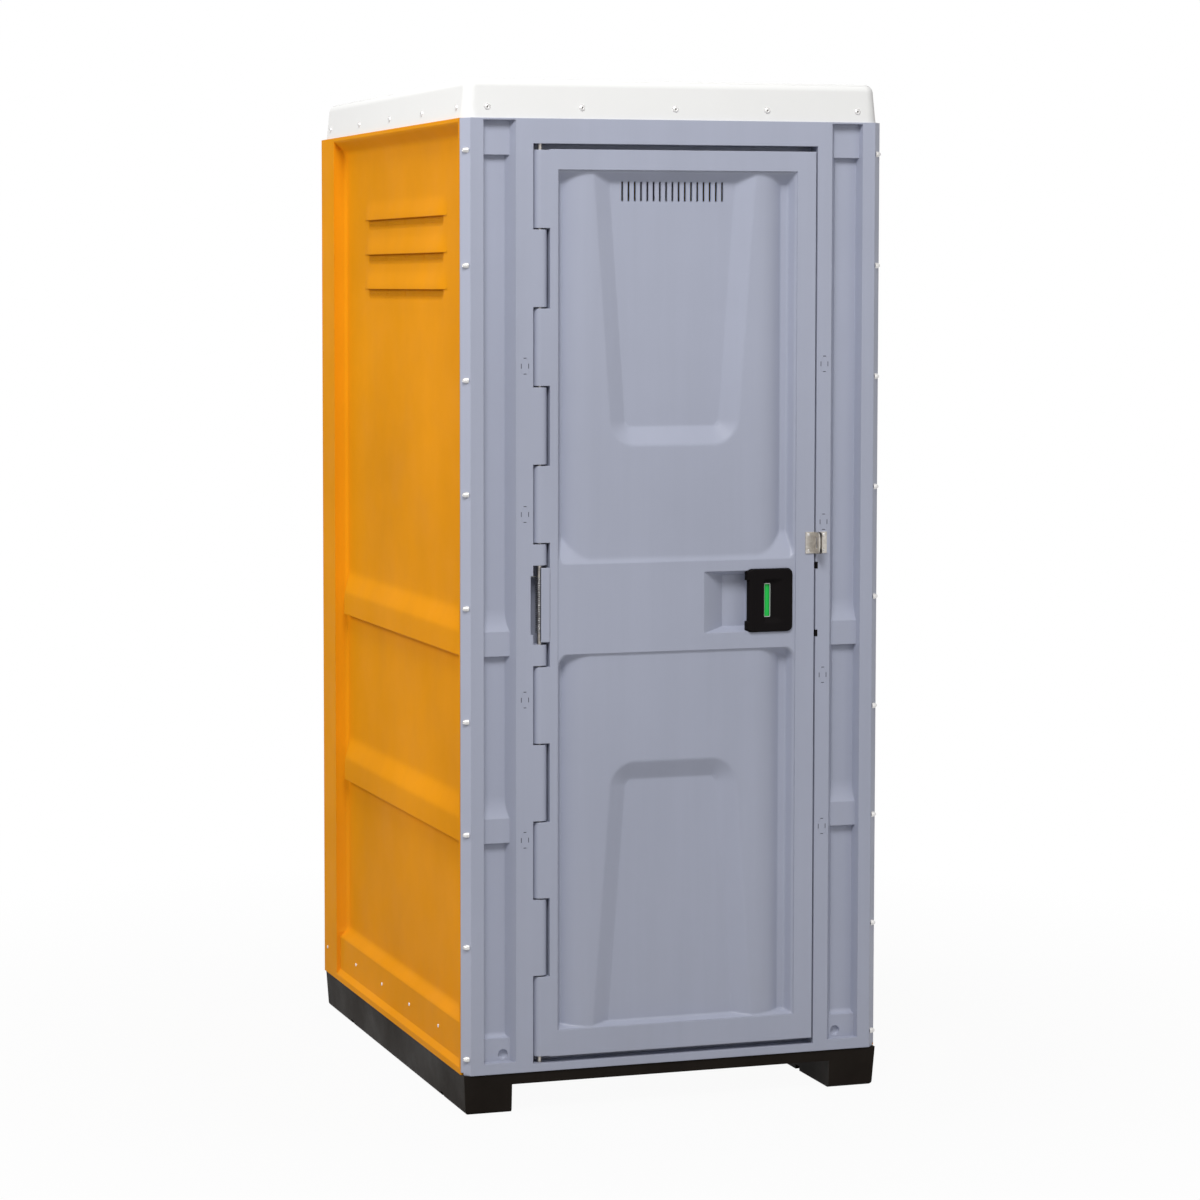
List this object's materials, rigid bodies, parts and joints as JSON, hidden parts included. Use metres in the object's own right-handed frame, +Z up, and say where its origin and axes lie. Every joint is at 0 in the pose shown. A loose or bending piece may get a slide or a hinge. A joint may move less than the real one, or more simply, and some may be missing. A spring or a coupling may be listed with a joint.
{
  "type": "portable toilet cabin",
  "caption": "Single-user portable toilet cabin: moulded plastic walls on a skid pallet, a sprung door with slide lock, louvred sides and a holding tank with seat inside.",
  "frame": {"origin": "on the floor plane under the middle of the walls' outline", "axes": "+X to the right of someone facing the door, +Y from the door to the rear wall, +Z up"},
  "size_m": [1.0036, 1.2322, 2.343],
  "materials": {
    "grey_plastic": "moulded, fine grain",
    "orange_plastic": "moulded, fine grain",
    "white_plastic": "moulded, smooth",
    "base_black": "moulded, satin",
    "floor_grey": "moulded, grained",
    "lock_black": "moulded, satin",
    "tank_grey": "moulded, satin",
    "seat_black": "moulded, satin",
    "indicator_green": "smooth",
    "indicator_red": "smooth",
    "zinc_steel": "zinc plated",
    "dark_steel": "oiled spring steel",
    "rivet_alu": "plain",
    "pipe_grey": "extruded, smooth",
    "paper": "soft"
  },
  "bodies": {
    "cabin": {"base_pallet": "base_black", "floor_pan": "floor_grey", "left_wall": "orange_plastic", "right_wall": "orange_plastic", "rear_wall": "orange_plastic", "front_frame": "grey_plastic", "roof": "white_plastic", "corner_rivets": "rivet_alu", "rear_rivets": "rivet_alu", "roof_rivets": "rivet_alu", "base_rivets": "rivet_alu", "hinge_rod": "zinc_steel", "closer_spring": "dark_steel", "strike_plate": "lock_black", "frame_hasp": "zinc_steel", "frame_hasp_rivets": "rivet_alu", "waste_tank": "tank_grey", "seat_hinge_pin": "zinc_steel", "vent_pipe": "pipe_grey", "vent_cap": "pipe_grey", "urinal": "tank_grey", "urinal_drain": "pipe_grey", "paper_holder": "lock_black", "coat_hook": "lock_black"},
    "door": {"door_leaf": "grey_plastic", "closer_cover": "grey_plastic", "lock_escutcheon": "lock_black", "lock_case": "lock_black", "door_pull": "lock_black", "door_hasp": "zinc_steel", "door_hasp_rivets": "rivet_alu"},
    "lock": {"lock_bolt": "lock_black", "indicator_green": "indicator_green", "indicator_red": "indicator_red"},
    "seat_ring": {"seat_ring": "seat_black"},
    "seat_lid": {"seat_lid": "seat_black"},
    "paper_roll": {"paper_roll": "paper"}
  },
  "joints": [
    {"name": "door_hinge", "type": "hinge", "parent": "cabin", "child": "door", "pos_m": [-0.3165, -0.5835, 1.138], "axis": [0, 0, -1], "range_deg": [0, 95], "stiffness_Nm_per_rad": 4, "springref_deg": -34.38, "deforming": ["closer_spring"]},
    {"name": "lock_slide", "type": "slide", "parent": "door", "child": "lock", "axis": [1, 0, 0], "range_m": [0, 0.018]},
    {"name": "seat_ring_hinge", "type": "hinge", "parent": "cabin", "child": "seat_ring", "pos_m": [0, 0.51, 0.4836], "axis": [-1, 0, 0], "range_deg": [0, 92]},
    {"name": "seat_lid_hinge", "type": "hinge", "parent": "cabin", "child": "seat_lid", "pos_m": [0, 0.51, 0.4836], "axis": [-1, 0, 0], "range_deg": [-93, 0]},
    {"name": "paper_roll_spin", "type": "hinge", "parent": "cabin", "child": "paper_roll", "pos_m": [0.3997, -0.18, 0.76], "axis": [0, 1, 0], "continuous": true}
  ]
}
